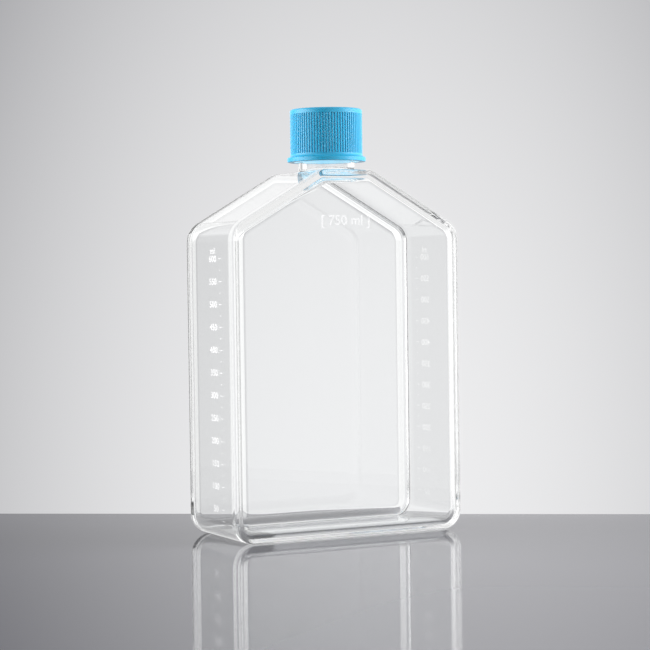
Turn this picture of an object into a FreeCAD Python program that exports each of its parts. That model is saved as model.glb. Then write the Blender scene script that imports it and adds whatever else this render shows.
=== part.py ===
"""Cell culture flask: clear rectangular body with a straight screw neck, a ribbed cap and its sealing liner.

Frame: millimetres, +Z up. The origin is the centre of the base that the flask stands on. X runs across the
broad faces, Y runs from the front broad face (-Y) to the back one. The neck stands a little nearer the front.
"""
import FreeCAD, Part
import math
import os

import Sketcher

Vector = FreeCAD.Vector

# Driving dimensions, in millimetres: alias, value, meaning.
SIZES = (
    ("body_width", 110.0, "flask body across the broad faces"),
    ("body_depth", 51.0, "flask body from the front face to the back face"),
    ("shoulder_height", 134.0, "base to the fold where the shoulders start"),
    ("deck_height", 159.0, "base to the flat deck that carries the neck"),
    ("deck_width", 23.8, "deck from the top of one shoulder to the other"),
    ("body_wall", 1.7, "wall of the flask body"),
    ("base_corner_radius", 9.0, "outside radius between base and narrow sides"),
    ("shoulder_corner_radius", 10.0, "outside radius between narrow sides and shoulders"),
    ("deck_corner_radius", 7.5, "outside radius between shoulders and deck"),
    ("edge_radius", 2.0, "outside radius round both broad faces"),
    ("hollow_edge_radius", 4.5, "radius of the hollow round both broad faces, which leaves the edges thick"),
    ("neck_offset", 5.0, "neck axis in front of the body's middle"),
    ("neck_radius", 12.5, "outside radius of the neck"),
    ("neck_wall", 1.6, "wall of the neck"),
    ("neck_length", 24.0, "deck to the lip of the neck"),
    ("neck_root_radius", 1.5, "fillet between neck and deck"),
    ("lip_radius", 0.6, "rounding of the lip's edges"),
    ("thread_pitch", 3.2, "rise of the thread in one turn"),
    ("thread_turns", 1.5, "turns of thread on the neck, and in the cap"),
    ("thread_depth", 0.8, "height of a thread ridge above its wall"),
    ("thread_root_width", 2.0, "width of a thread ridge at its root"),
    ("thread_crest_width", 1.0, "width of a thread ridge at its crest"),
    ("thread_sink", 0.3, "how far a ridge's root is sunk into its wall"),
    ("thread_clearance", 0.35, "radial gap between a crest and the wall facing it"),
    ("thread_below_lip", 10.0, "lip down to the start of the neck's thread"),
    ("cap_radius", 15.8, "cap over its ribs"),
    ("cap_height", 23.0, "overall height of the cap"),
    ("cap_top_thickness", 1.8, "top wall of the cap"),
    ("cap_edge_radius", 0.8, "rounding of the cap's top edge"),
    ("cap_top_band", 2.2, "plain band between the ribs and the top"),
    ("cap_foot_band", 0.3, "plain band between the ribs and the flare"),
    ("cap_lead_in", 0.6, "chamfer where the neck enters the cap"),
    ("rim_radius", 17.2, "plain flared rim at the cap's foot"),
    ("rim_height", 2.0, "height of the rim"),
    ("rim_edge_radius", 0.4, "rounding of the rim's edges"),
    ("flare_radius", 1.2, "concave flare between rim and ribs"),
    ("rib_count", 80, "number of ribs round the cap"),
    ("groove_depth", 0.35, "depth of the V grooves between the ribs"),
    ("groove_width", 0.8, "width of each V groove at the ribs' surface"),
    ("liner_thickness", 1.2, "thickness of the sealing liner"),
    ("liner_grip", 0.25, "step of the cap's bore that keeps the liner in"),
    ("liner_clearance", 0.08, "radial gap round the liner in its recess"),
    ("liner_float", 0.1, "gap between the liner and the step under it"),
)

# Angles and places that several sketches share, as expressions of the driving dimensions. Heights are above
# the base.
SHOULDER_SLOPE = "atan(2 * (sizes.deck_height - sizes.shoulder_height) / (sizes.body_width - sizes.deck_width))"
LIP_HEIGHT = "(sizes.deck_height + sizes.neck_length)"
CAP_TOP_HEIGHT = f"({LIP_HEIGHT} + sizes.liner_thickness + sizes.cap_top_thickness)"
CAP_FOOT_HEIGHT = f"({CAP_TOP_HEIGHT} - sizes.cap_height)"
THREAD_HEIGHT = f"({LIP_HEIGHT} - sizes.thread_below_lip)"
NECK_BORE_RADIUS = "(sizes.neck_radius - sizes.neck_wall)"
CAP_BORE_RADIUS = "(sizes.neck_radius + sizes.thread_depth + sizes.thread_clearance)"
LINER_RADIUS = f"({CAP_BORE_RADIUS} + sizes.liner_grip)"

NEAR = 1e-4  # millimetres within which an edge counts as lying at a place


def make_sheet(doc):
    """Write the driving dimensions to the spreadsheet."""
    sheet = doc.addObject("Spreadsheet::Sheet", "sizes")
    for row, (alias, value, meaning) in enumerate(SIZES, start=1):
        sheet.set(f"A{row}", meaning)
        sheet.set(f"B{row}", str(value))
        sheet.setAlias(f"B{row}", alias)
    doc.recompute()


def value_of(owner, rule):
    """The number that an expression of the driving dimensions gives."""
    return float(owner.evalExpression(rule))


def near(a, b):
    return abs(a - b) < NEAR


# Helpers for PartDesign bodies


def new_body(doc, name):
    body = doc.addObject("PartDesign::Body", name)
    body.Label = name
    return body


def origin_feature(body, role):
    """The origin plane or axis of a body that has this role."""
    return next(f for f in body.Origin.OriginFeatures if f.Role == role)


def new_sketch(body, name, role="XZ_Plane", offset="0"):
    """An empty sketch on one of the body's own origin planes, moved along the plane's normal."""
    sketch = body.newObject("Sketcher::SketchObject", name)
    sketch.AttachmentSupport = [(origin_feature(body, role), "")]
    sketch.MapMode = "FlatFace"
    sketch.setExpression("AttachmentOffset.Base.z", offset)
    return sketch


def draw_polygon(sketch, corners):
    """Draw a closed polygon whose corners are placed from the sketch's origin, each by two expressions."""
    points = [Vector(*(value_of(sketch, rule) for rule in corner), 0) for corner in corners]
    for start, end in zip(points, points[1:] + points[:1]):
        sketch.addGeometry(Part.LineSegment(start, end))
    for i, (corner, point) in enumerate(zip(corners, points)):
        before = (i - 1) % len(corners)
        sketch.addConstraint(Sketcher.Constraint("Coincident", before, 2, i, 1))
        for kind, rule, value in zip(("DistanceX", "DistanceY"), corner, point):
            index = sketch.addConstraint(Sketcher.Constraint(kind, -1, 1, i, 1, value))
            sketch.setExpression(f"Constraints[{index}]", rule)


def draw_rounded(sketch, corners):
    """Draw a closed outline clockwise. Three expressions a corner place it as if it were sharp and round it."""
    count = len(corners)
    points = [Vector(*(value_of(sketch, rule) for rule in corner[:2]), 0) for corner in corners]
    ends = []
    for i, (corner, point) in enumerate(zip(corners, points)):
        back = (points[i - 1] - point).normalize()
        ahead = (points[(i + 1) % count] - point).normalize()
        half_angle = back.getAngle(ahead) / 2
        radius = value_of(sketch, corner[2])
        middle = (back + ahead).normalize()
        centre = point + middle * (radius / math.sin(half_angle))
        reach = radius / math.tan(half_angle)
        arc = Part.Arc(point + ahead * reach, centre - middle * radius, point + back * reach)
        sketch.addGeometry(arc)
        ends.append((point + back * reach, point + ahead * reach))
    for i in range(count):
        sketch.addGeometry(Part.LineSegment(ends[i][1], ends[(i + 1) % count][0]))
    for point in points:
        sketch.addGeometry(Part.Point(point), True)
    for i, (corner, point) in enumerate(zip(corners, points)):
        line_before = count + (i - 1) % count
        line_after = count + i
        sharp = 2 * count + i
        for kind, rule, value in zip(("DistanceX", "DistanceY"), corner, point):
            index = sketch.addConstraint(Sketcher.Constraint(kind, -1, 1, sharp, 1, value))
            sketch.setExpression(f"Constraints[{index}]", rule)
        sketch.addConstraint(Sketcher.Constraint("PointOnObject", sharp, 1, line_before))
        sketch.addConstraint(Sketcher.Constraint("PointOnObject", sharp, 1, line_after))
        sketch.addConstraint(Sketcher.Constraint("Tangent", line_before, 2, i, 2))
        sketch.addConstraint(Sketcher.Constraint("Tangent", i, 1, line_after, 1))
        index = sketch.addConstraint(Sketcher.Constraint("Radius", i, value_of(sketch, corner[2])))
        sketch.setExpression(f"Constraints[{index}]", corner[2])


def turn(body, sketch, kind):
    """Turn a sketch once round its own upright axis, to add a round form or to cut one away."""
    feature = body.newObject(kind, f"{sketch.Name}_turned")
    feature.Profile = sketch
    feature.ReferenceAxis = (sketch, ["V_Axis"])
    feature.Angle = 360
    body.Document.recompute()


def fillet(body, name, radius, chosen):
    """Round those edges of the body's last feature that pass a test."""
    base = body.Tip
    names = [f"Edge{i}" for i, edge in enumerate(base.Shape.Edges, start=1) if chosen(edge)]
    feature = body.newObject("PartDesign::Fillet", name)
    feature.Base = (base, names)
    feature.setExpression("Radius", radius)
    body.Document.recompute()


def is_ring(edge, radius, height):
    """True for a whole level circle of this radius at this height."""
    box = edge.BoundBox
    return near(box.ZMin, height) and near(box.ZMax, height) and near(box.XLength, 2 * radius)


def fillet_ring(body, name, radius, owner, ring_radius, ring_height):
    """Round one level circular edge, found by its radius and its height."""
    at_radius = value_of(owner, ring_radius)
    at_height = value_of(owner, ring_height)
    fillet(body, name, radius, lambda edge: is_ring(edge, at_radius, at_height))


def add_thread(body, name, root, crest, height, offset="0"):
    """Wind a right-handed ridge up from a height, from its root radius to its crest radius."""
    half_root = "sizes.thread_root_width / 2"
    half_crest = "sizes.thread_crest_width / 2"
    sketch = new_sketch(body, name, offset=offset)
    draw_polygon(sketch, (
        (root, f"{height} - {half_root}"),
        (crest, f"{height} - {half_crest}"),
        (crest, f"{height} + {half_crest}"),
        (root, f"{height} + {half_root}"),
    ))
    helix = body.newObject("PartDesign::AdditiveHelix", f"{name}_wound")
    helix.Profile = sketch
    helix.ReferenceAxis = (sketch, ["V_Axis"])
    helix.Mode = "pitch-turns-angle"
    helix.setExpression("Pitch", "sizes.thread_pitch")
    helix.setExpression("Turns", "sizes.thread_turns")
    body.Document.recompute()


# The flask


def add_slab(body, name, inset, edge_radius):
    """Pad the flask's outline with every face moved in by an inset, and round its broad faces' edges."""
    half_width = f"(sizes.body_width / 2 - {inset})"
    half_depth = f"(sizes.body_depth / 2 - {inset})"
    fold = f"(sizes.shoulder_height - {inset} * tan(45 deg - {SHOULDER_SLOPE} / 2))"
    deck = f"(sizes.deck_height - {inset})"
    deck_half = f"(sizes.deck_width / 2 - {inset} * tan({SHOULDER_SLOPE} / 2))"
    sketch = new_sketch(body, name)
    base_corner = f"sizes.base_corner_radius - {inset}"
    shoulder_corner = f"sizes.shoulder_corner_radius - {inset}"
    deck_corner = f"sizes.deck_corner_radius - {inset}"
    draw_rounded(sketch, (
        (f"-{half_width}", inset, base_corner),
        (f"-{half_width}", fold, shoulder_corner),
        (f"-{deck_half}", deck, deck_corner),
        (deck_half, deck, deck_corner),
        (half_width, fold, shoulder_corner),
        (half_width, inset, base_corner),
    ))
    pad = body.newObject("PartDesign::Pad", f"{name}_pad")
    pad.Profile = sketch
    pad.SideType = "Symmetric"
    pad.setExpression("Length", f"2 * {half_depth}")
    body.Document.recompute()

    y = value_of(sketch, half_depth)
    fillet(body, f"{name}_edge", edge_radius, lambda edge: (
        near(abs(edge.BoundBox.YMin), y) and near(edge.BoundBox.YLength, 0)
    ))


def make_flask_body(doc):
    """The clear flask: rounded slab with its neck and thread, cut by the rounded hollow inside."""
    solid = new_body(doc, "flask_solid")
    add_slab(solid, "outside", "0", "sizes.edge_radius")

    neck = new_sketch(solid, "neck", offset="sizes.neck_offset")
    draw_polygon(neck, (
        ("0", "sizes.shoulder_height"),
        ("sizes.neck_radius", "sizes.shoulder_height"),
        ("sizes.neck_radius", LIP_HEIGHT),
        ("0", LIP_HEIGHT),
    ))
    turn(solid, neck, "PartDesign::Revolution")
    neck_radius = value_of(neck, "sizes.neck_radius")
    axis_y = -value_of(neck, "sizes.neck_offset")
    deck = value_of(neck, "sizes.deck_height")

    def on_neck(vertex):
        return near(math.hypot(vertex.X, vertex.Y - axis_y), neck_radius)

    fillet(solid, "neck_root", "sizes.neck_root_radius", lambda edge: (
        edge.BoundBox.ZMax < deck + NEAR and all(on_neck(vertex) for vertex in edge.Vertexes)
    ))

    bore = new_sketch(solid, "bore", offset="sizes.neck_offset")
    draw_polygon(bore, (
        ("0", "sizes.shoulder_height"),
        (NECK_BORE_RADIUS, "sizes.shoulder_height"),
        (NECK_BORE_RADIUS, LIP_HEIGHT),
        ("0", LIP_HEIGHT),
    ))
    turn(solid, bore, "PartDesign::Groove")
    fillet_ring(solid, "lip_outside", "sizes.lip_radius", bore, "sizes.neck_radius", LIP_HEIGHT)
    fillet_ring(solid, "lip_inside", "sizes.lip_radius", bore, NECK_BORE_RADIUS, LIP_HEIGHT)
    add_thread(
        solid, "neck_thread", "sizes.neck_radius - sizes.thread_sink", "sizes.neck_radius + sizes.thread_depth",
        THREAD_HEIGHT, offset="sizes.neck_offset",
    )

    hollow = new_body(doc, "flask_hollow")
    add_slab(hollow, "inside", "sizes.body_wall", "sizes.hollow_edge_radius")

    flask = doc.addObject("Part::Cut", "flask_body")
    flask.Label = "flask_body"
    flask.Base = solid
    flask.Tool = hollow
    return flask


# The closure


def place_on_neck(piece, height):
    """Stand a piece of the closure on the neck's axis at a height."""
    piece.setExpression("Placement.Base.y", "-sizes.neck_offset")
    piece.setExpression("Placement.Base.z", height)


def make_screw_cap(doc):
    """The cap in its own frame, foot at zero: turned shell with liner recess, grip grooves and inside thread."""
    cap = new_body(doc, "screw_cap")
    ceiling = "(sizes.cap_height - sizes.cap_top_thickness)"
    recess_radius = f"({LINER_RADIUS} + sizes.liner_clearance)"
    step = f"({ceiling} - sizes.liner_thickness - sizes.liner_float)"
    shell = new_sketch(cap, "cap_shell")
    draw_polygon(shell, (
        (f"{CAP_BORE_RADIUS} + sizes.cap_lead_in", "0"),
        ("sizes.rim_radius", "0"),
        ("sizes.rim_radius", "sizes.rim_height"),
        ("sizes.cap_radius", "sizes.rim_height"),
        ("sizes.cap_radius", "sizes.cap_height"),
        ("0", "sizes.cap_height"),
        ("0", ceiling),
        (recess_radius, ceiling),
        (recess_radius, step),
        (CAP_BORE_RADIUS, step),
        (CAP_BORE_RADIUS, "sizes.cap_lead_in"),
    ))
    turn(cap, shell, "PartDesign::Revolution")
    fillet_ring(cap, "flare", "sizes.flare_radius", shell, "sizes.cap_radius", "sizes.rim_height")
    fillet_ring(cap, "rim_top", "sizes.rim_edge_radius", shell, "sizes.rim_radius", "sizes.rim_height")
    fillet_ring(cap, "rim_foot", "sizes.rim_edge_radius", shell, "sizes.rim_radius", "0")
    fillet_ring(cap, "cap_edge", "sizes.cap_edge_radius", shell, "sizes.cap_radius", "sizes.cap_height")

    add_thread(
        cap, "cap_thread", f"{CAP_BORE_RADIUS} + sizes.thread_sink", "sizes.neck_radius + sizes.thread_clearance",
        f"({THREAD_HEIGHT} - sizes.thread_pitch / 2 - {CAP_FOOT_HEIGHT})",
    )
    add_grip(cap)
    place_on_neck(cap, CAP_FOOT_HEIGHT)
    return cap


def add_grip(cap):
    """Cut the V grooves that leave ribs between the flare and the plain band at the top."""
    grip_foot = "(sizes.rim_height + sizes.flare_radius + sizes.cap_foot_band)"
    groove = new_sketch(cap, "groove", "XY_Plane", grip_foot)
    draw_polygon(groove, (
        ("sizes.cap_radius - sizes.groove_depth", "0"),
        ("sizes.cap_radius + sizes.groove_depth", "-sizes.groove_width"),
        ("sizes.cap_radius + sizes.groove_depth", "sizes.groove_width"),
    ))
    pocket = cap.newObject("PartDesign::Pocket", "groove_cut")
    pocket.Profile = groove
    pocket.Reversed = True
    pocket.setExpression("Length", f"sizes.cap_height - sizes.cap_top_band - {grip_foot}")
    before = cap.Shape.Volume
    cap.Document.recompute()
    if not cap.Shape.Volume < before:
        raise RuntimeError("the grip groove cuts nothing")

    grip = cap.newObject("PartDesign::PolarPattern", "grip")
    grip.Originals = [pocket]
    grip.Axis = (origin_feature(cap, "Z_Axis"), [""])
    grip.Angle = 360
    grip.setExpression("Occurrences", "sizes.rib_count")
    cap.Tip = grip


def make_cap_liner(doc):
    """The soft disc in the cap's recess, lying on the neck's lip."""
    liner = doc.addObject("Part::Cylinder", "cap_liner")
    liner.Label = "cap_liner"
    liner.setExpression("Radius", LINER_RADIUS)
    liner.setExpression("Height", "sizes.liner_thickness")
    place_on_neck(liner, LIP_HEIGHT)
    return liner


def check(doc, pieces):
    """Stop if a feature failed, or if a piece isn't one valid solid."""
    for thing in doc.Objects:
        if {"Invalid", "Error"} & set(thing.State):
            raise RuntimeError(f"{thing.Name} failed: {thing.getStatusString()}")
    for piece in pieces:
        shape = piece.Shape
        if shape.isNull() or not shape.isValid() or len(shape.Solids) != 1:
            raise RuntimeError(f"{piece.Label} is not one valid solid")


def main():
    doc = FreeCAD.newDocument("cell_culture_flask")
    make_sheet(doc)
    pieces = [make_flask_body(doc), make_screw_cap(doc), make_cap_liner(doc)]
    doc.recompute()
    check(doc, pieces)
    os.makedirs("parts", exist_ok=True)
    for piece in pieces:
        piece.Shape.exportStep(f"parts/{piece.Label}.step")
        print(f"{piece.Label}: {piece.Shape.Volume / 1000:.2f} cm3")
    hollow = doc.getObject("flask_hollow")
    print(f"hollow: {hollow.Shape.Volume / 1000:.0f} mL below the deck")


main()
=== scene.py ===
"""Looks of the cell culture flask: clear polystyrene, a ribbed blue cap and printed volume scales."""
import math

import bpy
from mathutils import Matrix, Vector


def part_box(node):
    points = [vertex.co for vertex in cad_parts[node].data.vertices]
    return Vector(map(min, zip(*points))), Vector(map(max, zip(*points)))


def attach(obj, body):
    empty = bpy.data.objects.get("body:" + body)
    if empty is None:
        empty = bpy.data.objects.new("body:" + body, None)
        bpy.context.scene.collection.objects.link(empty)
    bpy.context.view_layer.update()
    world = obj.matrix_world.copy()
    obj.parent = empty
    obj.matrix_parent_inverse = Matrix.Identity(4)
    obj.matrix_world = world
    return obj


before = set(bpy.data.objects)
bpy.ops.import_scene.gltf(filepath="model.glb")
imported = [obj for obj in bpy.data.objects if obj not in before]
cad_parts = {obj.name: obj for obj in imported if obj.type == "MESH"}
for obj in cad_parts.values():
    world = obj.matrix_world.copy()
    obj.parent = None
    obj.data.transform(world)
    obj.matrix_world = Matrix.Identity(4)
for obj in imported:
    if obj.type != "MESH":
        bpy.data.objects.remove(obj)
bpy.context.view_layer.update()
FLASK_LOW, FLASK_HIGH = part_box("flask_body")
CAP_LOW, CAP_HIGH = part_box("screw_cap")

MM = 0.001
UP = Vector((0, 0, 1))
WHITE = (1, 1, 1, 1)

# Camera
CAMERA_AZIMUTH = math.radians(-26.71)
CAMERA_DISTANCE = 0.8665
CAMERA_HEIGHT = 0.11476
CAMERA_YAW = math.radians(0.04)
CAMERA_PITCH = math.radians(-1.55)
CAMERA_ROLL = math.radians(-0.78)
CAMERA_LENS = 108.43
SENSOR = 36.0
MOST_BOUNCES = 48

# Table top, turned a little from the camera's line. Across the view its colour goes from dark to pale:
# painted shade, darkest to the left.
TABLE_TURN = math.radians(-6.7)
TABLE_BEHIND = 60.5 * MM
TABLE_AHEAD = 2.5
TABLE_HALF_WIDTH = 0.20
TABLE_GAP = 0.1 * MM
TABLE_DARK = (0.08, 0.08, 0.095, 1)
TABLE_DARK_AT = -140 * MM
TABLE_PALE = (0.235, 0.235, 0.255, 1)
TABLE_PALE_AT = 60 * MM

# Painted light on the table: a glowing box under the clear foot that fades out over its reach, standing in
# for the light that the clear foot gathers there
PAINTED_GLOW_MIDDLE = (6 * MM, 0, 0)
PAINTED_GLOW_HALF_SIZE = (40 * MM, 21 * MM, 1)
PAINTED_GLOW_REACH = 4 * MM
PAINTED_GLOW_LEVEL = 0.42
PAINTED_GLOW_COLOR = (0.95, 0.97, 1, 1)

# Backdrop: bright where the camera looks (to its right, along its view), and darker away from there
BRIGHT_SPOT = (0.023, 0.993)
BRIGHT_SPOT_HEIGHT = -0.116
BRIGHT_SPOT_SPREAD = (0.33, 10, 0.57)
BACKDROP_BRIGHT = (0.86, 0.86, 0.87, 1)
BACKDROP_DARK = (0.344, 0.344, 0.36, 1)
BACKDROP_DARK_AT = 0.6

# White walls all round the backdrop. They start where a ray turns this far off the camera's line.
WALLS_START = 0.156
WALLS_FULL = 0.186
WALLS_UPRIGHT_SHARE = 0.8
# Patches on the walls: degrees round from the camera to its right, the cosines at the patch's rim and at its
# full level, and that level.
WALL_PATCHES = (
    (-9, 0.94, 0.975, 0.0),
    (-80, 0.75, 0.90, 1.7),
    (105, 0.80, 0.90, 1.15),
    (-131, 0.95, 0.985, 0.45),
)
# Level of the walls by the sine of the height above the horizon
WALL_CLIMB = ((0.045, 1.0), (0.10, 1.25), (0.22, 1.25), (0.45, 0.85))

# Plain light from all round: its least strength, and the cosines where it starts to grow and is full, and its
# strength there, towards the sides and upright
PLAIN_LEAST = 0.10
PLAIN_SIDES = (0.70, 0.98, 5.0)
PLAIN_UPRIGHT = (0.3, 0.9, 0.55)

# Light panels: name, degrees round from the camera to its right, brightness
PANELS = (("left_softbox", -90, 3.0), ("right_softbox", 90, 4.0))
PANEL_DISTANCE = 1.0
PANEL_WIDTH = 0.8
PANEL_HEIGHT = 1.4
PANEL_FOOT = -300 * MM

# Painted light: the liner and the cap's bore glow, standing in for the light that comes up through the clear
# neck into the closed cap
LINER_PAINTED_GLOW = 0.55
CAP_BORE_PAINTED_GLOW = (0.35, 0.62, 0.75, 1)
CAP_INSIDE_RADIUS = 14.0 * MM
CAP_OUTSIDE_RADIUS = 14.5 * MM
CAP_INSIDE_BELOW_TOP = 1.5 * MM
CAP_OUTSIDE_BELOW_TOP = 0.8 * MM

# Printed marks
INK_THICKNESS = 0.03 * MM
# Painted light: the white ink glows a little, standing in for the light it scatters
INK_PAINTED_GLOW = 0.6
INK_SPREAD = 0.05 * MM
INK_COVER = 0.21
FAINT_INK_COVER = 0.12
SCALE_TOP = 600
SCALE_STEP = 50
SCALE_FOOT = 4.2 * MM
SCALE_PITCH = 0.1947 * MM
NUMBER_FROM_MIDDLE = 4.4 * MM
NUMBER_SIZE = 3.8 * MM
NUMBER_STRETCH = 1.35
DIGIT_HEIGHT = 2.6 * MM
UNIT_ABOVE = 3.4 * MM
TICK_FROM_NUMBER = 7.6 * MM
TICK_LENGTH = 2.4 * MM
HALF_TICK_LENGTH = 1.2 * MM
TICK_WIDTH = 0.3 * MM
CAPACITY_SIZE = 6.1 * MM
CAPACITY_PLACE = (-1.5 * MM, 134.9 * MM)

BOX_FACES = ((0, 1, 3, 2), (4, 6, 7, 5), (0, 4, 5, 1), (2, 3, 7, 6), (0, 2, 6, 4), (1, 5, 7, 3))


# Nodes


def feed(tree, value, socket):
    """Link a socket's value to an input, or set the input to a number, vector or colour."""
    if isinstance(value, bpy.types.NodeSocket):
        tree.links.new(value, socket)
    else:
        socket.default_value = value


def math_node(tree, operation, *values):
    """The result of an operation on numbers, each a socket or plain."""
    node = tree.nodes.new("ShaderNodeMath")
    node.operation = operation
    for value, socket in zip(values, node.inputs):
        feed(tree, value, socket)
    return node.outputs["Value"]


def vector_node(tree, operation, *values):
    """The result of an operation on vectors, each a socket or plain."""
    node = tree.nodes.new("ShaderNodeVectorMath")
    node.operation = operation
    for value, socket in zip(values, node.inputs):
        feed(tree, value, socket)
    gives_number = operation in ("LENGTH", "DOT_PRODUCT")
    return node.outputs["Value" if gives_number else "Vector"]


def reach_along(tree, vector, direction):
    """How far a vector reaches along a direction: for a ray, the cosine of the angle between them."""
    return vector_node(tree, "DOT_PRODUCT", vector, direction.normalized())


def ramped(tree, value, start, end, low, high):
    """Ramp a value smoothly: low up to its start, high from its end on."""
    node = tree.nodes.new("ShaderNodeMapRange")
    node.interpolation_type = "SMOOTHSTEP"
    node.inputs["From Min"].default_value = start
    node.inputs["From Max"].default_value = end
    node.inputs["To Min"].default_value = low
    node.inputs["To Max"].default_value = high
    tree.links.new(value, node.inputs["Value"])
    return node.outputs["Result"]


def color_ramp(tree, value, stops):
    """Turn a value into a colour, by stops of a place and a colour."""
    node = tree.nodes.new("ShaderNodeValToRGB")
    elements = node.color_ramp.elements
    for element, (place, color) in zip(elements, (stops[0], stops[-1])):
        element.position = place
        element.color = color
    for place, color in stops[1:-1]:
        elements.new(place).color = color
    tree.links.new(value, node.inputs["Fac"])
    return node.outputs["Color"]


def seen_by_eye(tree):
    """1 for what the camera sees, straight, mirrored or through plastic; 0 for what only lights a surface."""
    path = tree.nodes.new("ShaderNodeLightPath")
    seen = path.outputs["Is Camera Ray"]
    for kind in ("Is Glossy Ray", "Is Transmission Ray"):
        seen = math_node(tree, "MAXIMUM", seen, path.outputs[kind])
    return seen


# Materials


def new_material(name, values):
    """A material with its node tree and its Principled shader, whose inputs have these values."""
    material = bpy.data.materials.new(name)
    material.use_nodes = True
    material.cycles.emission_sampling = "NONE"
    tree = material.node_tree
    shader = tree.nodes["Principled BSDF"]
    for socket, value in values.items():
        shader.inputs[socket].default_value = value
    return material, tree, shader


def noise(tree, scale, detail):
    """Noise that is fixed to the object, and grows finer with its scale."""
    coordinates = tree.nodes.new("ShaderNodeTexCoord")
    texture = tree.nodes.new("ShaderNodeTexNoise")
    texture.inputs["Scale"].default_value = scale
    texture.inputs["Detail"].default_value = detail
    tree.links.new(coordinates.outputs["Object"], texture.inputs["Vector"])
    return texture.outputs["Fac"]


def bump(tree, height, shader, strength, distance):
    """Tilt the surface a little by a height."""
    node = tree.nodes.new("ShaderNodeBump")
    node.inputs["Strength"].default_value = strength
    node.inputs["Distance"].default_value = distance
    tree.links.new(height, node.inputs["Height"])
    tree.links.new(node.outputs["Normal"], shader.inputs["Normal"])


def vary_roughness(tree, value, shader, low, high):
    """Roughness that follows a value of 0 to 1 from low to high."""
    node = tree.nodes.new("ShaderNodeMapRange")
    node.inputs["To Min"].default_value = low
    node.inputs["To Max"].default_value = high
    tree.links.new(value, node.inputs["Value"])
    tree.links.new(node.outputs["Result"], shader.inputs["Roughness"])


def vary_color(tree, value, shader, low, high):
    """Base colour that follows a value of 0 to 1 from low to high."""
    tree.links.new(color_ramp(tree, value, ((0, low), (1, high))), shader.inputs["Base Color"])


def clear_polystyrene():
    """Clear moulded plastic: bends light, mirrors a little, and is faintly uneven as mouldings are."""
    material, tree, shader = new_material("clear_polystyrene", {
        "Base Color": (0.985, 0.99, 0.99, 1),
        "Transmission Weight": 1.0,
        "IOR": 1.59,
    })
    waves = noise(tree, scale=14.0, detail=1.0)
    bump(tree, waves, shader, strength=0.008, distance=2 * MM)
    vary_roughness(tree, waves, shader, 0.0, 0.02)
    return material


def blue_cap():
    """Satin moulded plastic, its blue a little uneven, with a painted glow in its bore."""
    material, tree, shader = new_material("blue_cap", {
        "Specular IOR Level": 0.9,
        "Emission Color": CAP_BORE_PAINTED_GLOW,
    })
    shade = noise(tree, scale=60.0, detail=2.0)
    vary_color(tree, shade, shader, (0.0, 0.325, 0.56, 1), (0.0, 0.360, 0.61, 1))
    grain = noise(tree, scale=900.0, detail=2.0)
    bump(tree, grain, shader, strength=0.03, distance=0.1 * MM)
    vary_roughness(tree, grain, shader, 0.28, 0.36)
    # Painted light: the cap's bore glows
    tree.links.new(inside_cap(tree), shader.inputs["Emission Strength"])
    return material


def inside_cap(tree):
    """Mask of the painted glow: 1 on the cap's bore and 0 on its outside, by the distance from its axis and
    the height.
    """
    place = tree.nodes.new("ShaderNodeTexCoord").outputs["Object"]
    from_middle = vector_node(tree, "SUBTRACT", place, (CAP_LOW + CAP_HIGH) / 2)
    level = vector_node(tree, "MULTIPLY", from_middle, (1, 1, 0))
    radius = vector_node(tree, "LENGTH", level)
    near_axis = ramped(tree, radius, CAP_INSIDE_RADIUS, CAP_OUTSIDE_RADIUS, 1.0, 0.0)
    half_height = (CAP_HIGH.z - CAP_LOW.z) / 2
    inside_top = half_height - CAP_INSIDE_BELOW_TOP
    outside_top = half_height - CAP_OUTSIDE_BELOW_TOP
    below_top = ramped(tree, reach_along(tree, from_middle, UP), inside_top, outside_top, 1.0, 0.0)
    return math_node(tree, "MULTIPLY", near_axis, below_top)


def white_liner():
    """Soft matt plastic with a faint grain and a painted glow."""
    material, tree, shader = new_material("white_liner", {
        "Emission Color": WHITE,
        "Emission Strength": LINER_PAINTED_GLOW,
    })
    grain = noise(tree, scale=500.0, detail=3.0)
    vary_color(tree, grain, shader, (0.78, 0.78, 0.76, 1), (0.86, 0.86, 0.84, 1))
    bump(tree, grain, shader, strength=0.2, distance=0.1 * MM)
    vary_roughness(tree, grain, shader, 0.6, 0.8)
    return material


def white_print(name, cover):
    """Thin white ink that lets some light through, with a painted glow."""
    material, tree, shader = new_material(name, {
        "Alpha": cover,
        "Emission Color": WHITE,
        "Emission Strength": INK_PAINTED_GLOW,
    })
    grain = noise(tree, scale=300.0, detail=2.0)
    vary_color(tree, grain, shader, (0.90, 0.90, 0.90, 1), (0.96, 0.96, 0.96, 1))
    vary_roughness(tree, grain, shader, 0.5, 0.7)
    return material


def table_finish():
    """Glossy grey, with painted shade across it and a painted glow under the clear foot."""
    material, tree, shader = new_material("table_top", {
        "Roughness": 0.05,
        "Emission Color": PAINTED_GLOW_COLOR,
    })
    place = tree.nodes.new("ShaderNodeNewGeometry").outputs["Position"]
    # Painted shade: the table's colour goes from dark on the left of the view to pale on the right
    sideways = reach_along(tree, place, seen_from_camera(1, 0))
    paleness = ramped(tree, sideways, TABLE_DARK_AT, TABLE_PALE_AT, 0.0, 1.0)
    vary_color(tree, paleness, shader, TABLE_DARK, TABLE_PALE)
    # Painted light: a patch under the clear foot glows, seen only by the eye
    from_middle = vector_node(tree, "ABSOLUTE", vector_node(tree, "SUBTRACT", place, PAINTED_GLOW_MIDDLE))
    outside = vector_node(tree, "MAXIMUM", vector_node(tree, "SUBTRACT", from_middle, PAINTED_GLOW_HALF_SIZE))
    under_foot = ramped(tree, vector_node(tree, "LENGTH", outside), 0, PAINTED_GLOW_REACH, 1.0, 0.0)
    glow = math_node(tree, "MULTIPLY", under_foot, seen_by_eye(tree))
    tree.links.new(math_node(tree, "MULTIPLY", glow, PAINTED_GLOW_LEVEL), shader.inputs["Emission Strength"])
    return material


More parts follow.
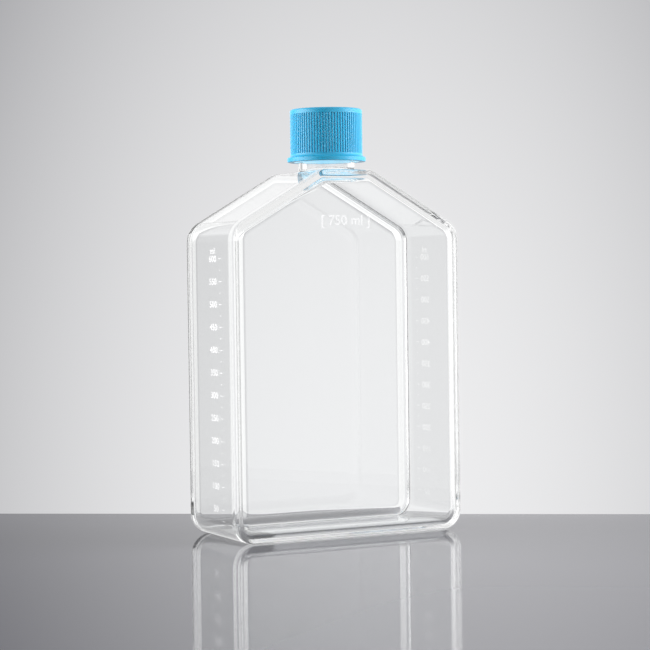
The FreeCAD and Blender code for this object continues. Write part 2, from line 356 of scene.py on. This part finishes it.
def paint(node, material):
    """Give a CAD node one material all over."""
    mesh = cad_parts[node].data
    mesh.materials.clear()
    mesh.materials.append(material)


# Marks


def make_text(name, body, size, stretch, line_pitch, place, facing, material):
    """Flat printed text, centred on its place; facing is its angle round from the front, to the right."""
    curve = bpy.data.curves.new(name, "FONT")
    curve.body = body
    curve.size = size
    curve.align_x = "CENTER"
    curve.space_line = line_pitch / size
    curve.extrude = INK_THICKNESS / 2
    curve.offset = INK_SPREAD
    curve.materials.append(material)
    text = bpy.data.objects.new(name, curve)
    text.location = place
    text.rotation_euler = (math.pi / 2, 0, facing)
    text.scale.x = stretch
    bpy.context.scene.collection.objects.link(text)
    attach(text, "flask")


def scale_level(volume):
    """Height above the table of the mark for a volume in millilitres."""
    return SCALE_FOOT + volume * SCALE_PITCH


def make_ticks(name, side, low_volume, step, length, material):
    """Short level lines up a narrow side, right of the numbers; side is -1 on the left, 1 on the right."""
    corners = []
    faces = []
    wall = FLASK_HIGH.x * side
    start = side * (NUMBER_FROM_MIDDLE + TICK_FROM_NUMBER) - length / 2
    for volume in range(low_volume, SCALE_TOP + 1, step):
        level = scale_level(volume)
        first = len(corners)
        for x in (wall, wall + side * INK_THICKNESS):
            for y in (start, start + length):
                for z in (level - TICK_WIDTH / 2, level + TICK_WIDTH / 2):
                    corners.append((x, y, z))
        for face in BOX_FACES:
            faces.append([first + corner for corner in face])
    mesh = bpy.data.meshes.new(name)
    mesh.from_pydata(corners, [], faces)
    mesh.materials.append(material)
    ticks = bpy.data.objects.new(name, mesh)
    bpy.context.scene.collection.objects.link(ticks)
    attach(ticks, "flask")


def make_scale(name, side, material):
    """Volume scale on a narrow side: numbers, the unit above them, and ticks."""
    facing = side * math.pi / 2
    wall = side * (FLASK_HIGH.x + INK_THICKNESS / 2)
    numbers = "\n".join(str(volume) for volume in range(SCALE_TOP, 0, -SCALE_STEP))
    top = Vector((wall, side * NUMBER_FROM_MIDDLE, scale_level(SCALE_TOP) - DIGIT_HEIGHT / 2))
    pitch = SCALE_STEP * SCALE_PITCH
    make_text(name + "_numbers", numbers, NUMBER_SIZE, NUMBER_STRETCH, pitch, top, facing, material)
    unit = top + UP * UNIT_ABOVE
    make_text(name + "_unit", "ml", NUMBER_SIZE, NUMBER_STRETCH, NUMBER_SIZE, unit, facing, material)
    make_ticks(name + "_ticks", side, SCALE_STEP, SCALE_STEP, TICK_LENGTH, material)
    make_ticks(name + "_half_ticks", side, SCALE_STEP // 2, SCALE_STEP, HALF_TICK_LENGTH, material)


def make_capacity(material):
    """The flask's capacity, near the top of its front."""
    across, up = CAPACITY_PLACE
    front = Vector((across, FLASK_LOW.y - INK_THICKNESS / 2, up))
    make_text("capacity", "[ 750 ml ]", CAPACITY_SIZE, 1, CAPACITY_SIZE, front, 0, material)


# Studio


def seen_from_camera(across, away):
    """A level direction, by how far it points to the right of the camera's view and how far along it."""
    right = Vector((math.cos(CAMERA_AZIMUTH), math.sin(CAMERA_AZIMUTH), 0))
    ahead = Vector((-math.sin(CAMERA_AZIMUTH), math.cos(CAMERA_AZIMUTH), 0))
    return right * across + ahead * away


def turned_direction(degrees):
    """A level direction, by its angle round from the camera to the camera's right."""
    turned = math.radians(degrees)
    return seen_from_camera(math.sin(turned), -math.cos(turned))


def make_table():
    """Table top under the flask, that ends close behind it."""
    mesh = bpy.data.meshes.new("table_top")
    corners = [
        (-TABLE_HALF_WIDTH, -TABLE_AHEAD, -TABLE_GAP),
        (TABLE_HALF_WIDTH, -TABLE_AHEAD, -TABLE_GAP),
        (TABLE_HALF_WIDTH, TABLE_BEHIND, -TABLE_GAP),
        (-TABLE_HALF_WIDTH, TABLE_BEHIND, -TABLE_GAP),
    ]
    mesh.from_pydata(corners, [], [(0, 1, 2, 3)])
    mesh.materials.append(table_finish())
    table = bpy.data.objects.new("table_top", mesh)
    table.rotation_euler.z = CAMERA_AZIMUTH + TABLE_TURN
    table.visible_glossy = False
    bpy.context.scene.collection.objects.link(table)


def backdrop_color(tree, looking):
    """Pale grey, brightest low behind the flask."""
    spot = tree.nodes.new("ShaderNodeMapping")
    spot.vector_type = "TEXTURE"
    spot.inputs["Location"].default_value = seen_from_camera(*BRIGHT_SPOT) + UP * BRIGHT_SPOT_HEIGHT
    spot.inputs["Rotation"].default_value = (0, 0, CAMERA_AZIMUTH)
    spot.inputs["Scale"].default_value = BRIGHT_SPOT_SPREAD
    tree.links.new(looking, spot.inputs["Vector"])
    from_spot = spot.outputs["Vector"]
    falling = vector_node(tree, "DOT_PRODUCT", from_spot, from_spot)
    return color_ramp(tree, falling, ((0, BACKDROP_BRIGHT), (BACKDROP_DARK_AT, BACKDROP_DARK)))


def off_axis(tree, looking, axis):
    """How far a ray turns towards an axis or away from it."""
    return math_node(tree, "ABSOLUTE", reach_along(tree, looking, axis))


def wall_level(tree, looking):
    """Level of the white walls that the plastic mirrors and bends; 0 on the backdrop between them."""
    across = off_axis(tree, looking, seen_from_camera(1, 0))
    upright = math_node(tree, "MULTIPLY", off_axis(tree, looking, UP), WALLS_UPRIGHT_SHARE)
    level = ramped(tree, math_node(tree, "MAXIMUM", across, upright), WALLS_START, WALLS_FULL, 0.0, 1.0)
    for degrees, rim, full, patch_level in WALL_PATCHES:
        towards = reach_along(tree, looking, turned_direction(degrees))
        level = math_node(tree, "MULTIPLY", level, ramped(tree, towards, rim, full, 1.0, patch_level))
    stops = [(sine, (height, height, height, 1)) for sine, height in WALL_CLIMB]
    return math_node(tree, "MULTIPLY", level, color_ramp(tree, reach_along(tree, looking, UP), stops))


def plain_strength(tree, looking):
    """Strength of the plain light: most from the two sides, some from above and below."""
    across = off_axis(tree, looking, seen_from_camera(1, 0))
    start, full, strength = PLAIN_SIDES
    sideways = ramped(tree, across, start, full, PLAIN_LEAST, strength)
    start, full, strength = PLAIN_UPRIGHT
    up_or_down = ramped(tree, off_axis(tree, looking, UP), start, full, PLAIN_LEAST, strength)
    return math_node(tree, "MAXIMUM", sideways, up_or_down)


def make_world():
    """Backdrop and walls for what the camera sees, and plain light on the surfaces."""
    world = bpy.data.worlds.new("studio")
    bpy.context.scene.world = world
    world.use_nodes = True
    tree = world.node_tree
    looking = tree.nodes.new("ShaderNodeTexCoord").outputs["Generated"]
    plain = tree.nodes["Background"]
    plain.inputs["Color"].default_value = WHITE
    tree.links.new(plain_strength(tree, looking), plain.inputs["Strength"])
    lighter = tree.nodes.new("ShaderNodeMix")
    lighter.data_type = "RGBA"
    lighter.blend_type = "LIGHTEN"
    lighter.inputs["Factor"].default_value = 1.0
    tree.links.new(backdrop_color(tree, looking), lighter.inputs["A"])
    tree.links.new(wall_level(tree, looking), lighter.inputs["B"])
    backdrop = tree.nodes.new("ShaderNodeBackground")
    tree.links.new(lighter.outputs["Result"], backdrop.inputs["Color"])
    mix = tree.nodes.new("ShaderNodeMixShader")
    tree.links.new(seen_by_eye(tree), mix.inputs["Fac"])
    tree.links.new(plain.outputs["Background"], mix.inputs[1])
    tree.links.new(backdrop.outputs["Background"], mix.inputs[2])
    tree.links.new(mix.outputs["Shader"], tree.nodes["World Output"].inputs["Surface"])


def make_panel(name, degrees, brightness):
    """An upright light panel that faces the flask. It lights surfaces and isn't seen itself."""
    back = turned_direction(degrees)
    data = bpy.data.lights.new(name, "AREA")
    data.shape = "RECTANGLE"
    data.size = PANEL_WIDTH
    data.size_y = PANEL_HEIGHT
    data.energy = brightness * math.pi * PANEL_WIDTH * PANEL_HEIGHT
    lamp = bpy.data.objects.new(name, data)
    lamp.location = back * PANEL_DISTANCE + UP * (PANEL_HEIGHT / 2 + PANEL_FOOT)
    lamp.rotation_euler = back.to_track_quat("Z", "Y").to_euler()
    lamp.visible_camera = False
    lamp.visible_glossy = False
    lamp.visible_transmission = False
    bpy.context.scene.collection.objects.link(lamp)


def make_camera():
    """The camera, placed and turned by its own angles."""
    data = bpy.data.cameras.new("camera")
    data.sensor_width = SENSOR
    data.lens = CAMERA_LENS
    camera = bpy.data.objects.new("camera", data)
    heading = CAMERA_AZIMUTH - CAMERA_YAW
    forward = Vector((
        -math.sin(heading) * math.cos(CAMERA_PITCH),
        math.cos(heading) * math.cos(CAMERA_PITCH),
        math.sin(CAMERA_PITCH),
    ))
    right = forward.cross(UP).normalized()
    up = right.cross(forward)
    roll = Matrix.Rotation(CAMERA_ROLL, 3, -forward)
    axes = Matrix((right, up, -forward)).transposed()
    place = seen_from_camera(0, -CAMERA_DISTANCE) + UP * CAMERA_HEIGHT
    camera.matrix_world = Matrix.Translation(place) @ (roll @ axes).to_4x4()
    bpy.context.scene.collection.objects.link(camera)
    bpy.context.scene.camera = camera


def main():
    scene = bpy.context.scene
    scene.view_settings.view_transform = "Standard"
    scene.cycles.max_bounces = MOST_BOUNCES
    scene.cycles.transmission_bounces = MOST_BOUNCES
    scene.cycles.glossy_bounces = MOST_BOUNCES
    paint("flask_body", clear_polystyrene())
    paint("screw_cap", blue_cap())
    paint("cap_liner", white_liner())
    ink = white_print("white_print", INK_COVER)
    make_scale("left_scale", -1, ink)
    make_scale("right_scale", 1, ink)
    make_capacity(white_print("faint_white_print", FAINT_INK_COVER))
    make_table()
    make_world()
    for name, degrees, brightness in PANELS:
        make_panel(name, degrees, brightness)
    make_camera()


main()
